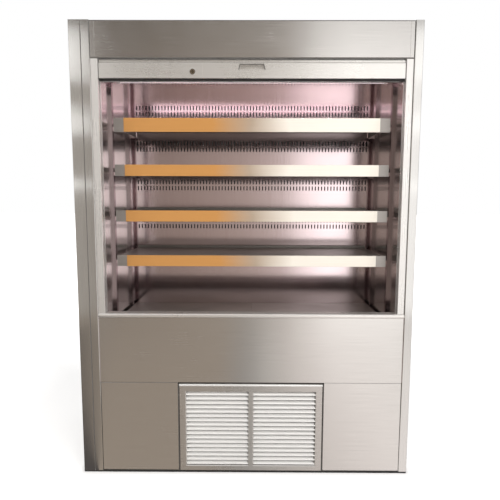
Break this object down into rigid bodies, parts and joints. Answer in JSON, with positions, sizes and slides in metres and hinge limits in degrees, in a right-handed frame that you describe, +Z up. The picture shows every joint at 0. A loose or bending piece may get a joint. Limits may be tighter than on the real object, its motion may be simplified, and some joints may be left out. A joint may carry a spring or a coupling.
{
  "type": "open multideck display fridge",
  "caption": "Stainless open-front multideck display fridge with shelves above a well, a roll-down slatted shutter in side guides and a louvred condensing-unit grille.",
  "frame": {"origin": "middle of the footprint at floor level, end panel included", "axes": "+Z up, front of the case towards -Y, +X to the right of someone facing the front"},
  "size_m": [1.45, 0.7, 1.95],
  "materials": {
    "brushed_steel": "vertical brushed stainless, satin",
    "polished_steel": "bright stainless",
    "interior_steel": "polished stainless liner",
    "shelf_steel": "satin stainless",
    "ticket_steel": "bright brushed stainless",
    "louvre_steel": "bright satin stainless",
    "guide_aluminium": "satin anodised",
    "rail_aluminium": "satin anodised",
    "slat_aluminium": "satin anodised",
    "pull_aluminium": "satin anodised",
    "fin_aluminium": "bare fins",
    "chrome": "polished plate",
    "galvanised": "galvanised, matt",
    "copper": "drawn copper",
    "black_paint": "satin black paint",
    "compressor_black": "gloss black enamel",
    "foot_black": "matt, moulded",
    "black_plastic": "matt, moulded",
    "white_plastic": "satin, moulded",
    "fan_blade": "satin, moulded",
    "seal_rubber": "matt",
    "switch_red": "gloss, moulded",
    "lamp": "opal diffuser"
  },
  "bodies": {
    "cabinet": {"air_honeycomb": "white_plastic", "back_liner": "interior_steel", "barrel_brackets": "galvanised", "base_frame": "black_paint", "cable_gland": "black_plastic", "canopy_lamp": "lamp", "ceiling_liner": "interior_steel", "compressor": "compressor_black", "condenser_coil": "fin_aluminium", "control_box": "galvanised", "drip_tray": "black_plastic", "end_panel": "brushed_steel", "evaporator_coil": "fin_aluminium", "fan_plate": "galvanised", "fan_shroud": "galvanised", "fascia": "brushed_steel", "front_panel": "brushed_steel", "front_sill": "brushed_steel", "guide_left": "guide_aluminium", "guide_right": "guide_aluminium", "insulated_tub": "interior_steel", "kick_panel_left": "brushed_steel", "kick_panel_right": "brushed_steel", "pilasters": "polished_steel", "rear_cover": "galvanised", "rear_wall": "galvanised", "refrigerant_pipes": "copper", "roof_panel": "galvanised", "shelf_clips": "polished_steel", "shutter_box": "galvanised", "side_wall_left": "brushed_steel", "side_wall_right": "brushed_steel"},
    "levelling_feet": {"levelling_feet": "foot_black"},
    "shutter": {"shutter_rail": "rail_aluminium", "rail_seal": "seal_rubber", "rail_shoes": "black_plastic", "pull_cup": "pull_aluminium", "shutter_curtain": "slat_aluminium"},
    "shutter_barrel": {"shutter_barrel": "slat_aluminium"},
    "lock_cylinder": {"lock_cylinder": "chrome"},
    "lock_bolt_left": {"lock_bolt_left": "galvanised"},
    "lock_bolt_right": {"lock_bolt_right": "galvanised"},
    "shelf_1": {"shelf_1_tray": "shelf_steel", "shelf_1_ticket_strip": "ticket_steel"},
    "shelf_2": {"shelf_2_tray": "shelf_steel", "shelf_2_ticket_strip": "ticket_steel"},
    "shelf_3": {"shelf_3_tray": "shelf_steel", "shelf_3_ticket_strip": "ticket_steel"},
    "shelf_4": {"shelf_4_tray": "shelf_steel", "shelf_4_ticket_strip": "ticket_steel"},
    "deck_pan_left": {"deck_pan_left": "shelf_steel"},
    "deck_pan_right": {"deck_pan_right": "shelf_steel"},
    "return_grille": {"return_grille": "shelf_steel"},
    "front_grille": {"grille_frame": "brushed_steel", "grille_louvres": "louvre_steel"},
    "condenser_fan": {"condenser_fan": "fan_blade"},
    "evaporator_fan_left": {"evaporator_fan_left": "fan_blade"},
    "evaporator_fan_right": {"evaporator_fan_right": "fan_blade"},
    "power_switch": {"power_switch": "switch_red"},
    "thermostat_knob": {"thermostat_knob": "black_plastic"}
  },
  "joints": [
    {"name": "feet_screw", "type": "slide", "parent": "cabinet", "child": "levelling_feet", "axis": [0, 0, 1], "range_m": [-0.015, 0]},
    {"name": "shutter_slide", "type": "slide", "parent": "cabinet", "child": "shutter", "axis": [0, 0, 1], "range_m": [-0.9835, 0], "deforming": ["shutter_curtain"]},
    {"name": "shutter_barrel_turn", "type": "hinge", "parent": "cabinet", "child": "shutter_barrel", "pos_m": [0.025, -0.2587, 1.872], "axis": [1, 0, 0], "range_deg": [0, 1250]},
    {"name": "lock_turn", "type": "hinge", "parent": "shutter", "child": "lock_cylinder", "pos_m": [-0.22, -0.325, 1.748], "axis": [0, -1, 0], "range_deg": [0, 90]},
    {"name": "lock_bolt_left_slide", "type": "slide", "parent": "shutter", "child": "lock_bolt_left", "axis": [-1, 0, 0], "range_m": [0, 0.01]},
    {"name": "lock_bolt_right_slide", "type": "slide", "parent": "shutter", "child": "lock_bolt_right", "axis": [1, 0, 0], "range_m": [0, 0.0101]},
    {"name": "shelf_1_lift", "type": "slide", "parent": "cabinet", "child": "shelf_1", "axis": [0, 0, 1], "range_m": [0, 0.05]},
    {"name": "shelf_2_lift", "type": "slide", "parent": "cabinet", "child": "shelf_2", "axis": [0, 0, 1], "range_m": [0, 0.05]},
    {"name": "shelf_3_lift", "type": "slide", "parent": "cabinet", "child": "shelf_3", "axis": [0, 0, 1], "range_m": [0, 0.05]},
    {"name": "shelf_4_lift", "type": "slide", "parent": "cabinet", "child": "shelf_4", "axis": [0, 0, 1], "range_m": [0, 0.05]},
    {"name": "deck_pan_left_lift", "type": "slide", "parent": "cabinet", "child": "deck_pan_left", "axis": [0, 0, 1], "range_m": [0, 0.08]},
    {"name": "deck_pan_right_lift", "type": "slide", "parent": "cabinet", "child": "deck_pan_right", "axis": [0, 0, 1], "range_m": [0, 0.08]},
    {"name": "return_grille_lift", "type": "slide", "parent": "cabinet", "child": "return_grille", "axis": [0, 0, 1], "range_m": [0, 0.06]},
    {"name": "front_grille_pull", "type": "slide", "parent": "cabinet", "child": "front_grille", "axis": [0, -1, 0], "range_m": [0, 0.12]},
    {"name": "condenser_fan_spin", "type": "hinge", "parent": "cabinet", "child": "condenser_fan", "pos_m": [0.155, -0.165, 0.217], "axis": [0, -1, 0], "continuous": true},
    {"name": "evaporator_fan_left_spin", "type": "hinge", "parent": "cabinet", "child": "evaporator_fan_left", "pos_m": [-0.275, -0.201, 0.547], "axis": [0, -1, 0], "continuous": true},
    {"name": "evaporator_fan_right_spin", "type": "hinge", "parent": "cabinet", "child": "evaporator_fan_right", "pos_m": [0.325, -0.201, 0.547], "axis": [0, -1, 0], "continuous": true},
    {"name": "power_switch_rock", "type": "hinge", "parent": "cabinet", "child": "power_switch", "pos_m": [-0.21, -0.274, 0.312], "axis": [1, 0, 0], "range_deg": [-14, 0]},
    {"name": "thermostat_turn", "type": "hinge", "parent": "cabinet", "child": "thermostat_knob", "pos_m": [-0.13, -0.28, 0.312], "axis": [0, -1, 0], "range_deg": [0, 270]}
  ],
  "couplings": [
    {"joint": "shutter_barrel_turn", "follows": "shutter_slide", "rad_per_m": -21.277},
    {"joint": "lock_turn", "follows": "lock_bolt_left_slide", "rad_per_m": 157.07},
    {"joint": "lock_bolt_right_slide", "follows": "lock_bolt_left_slide", "ratio": 1}
  ]
}
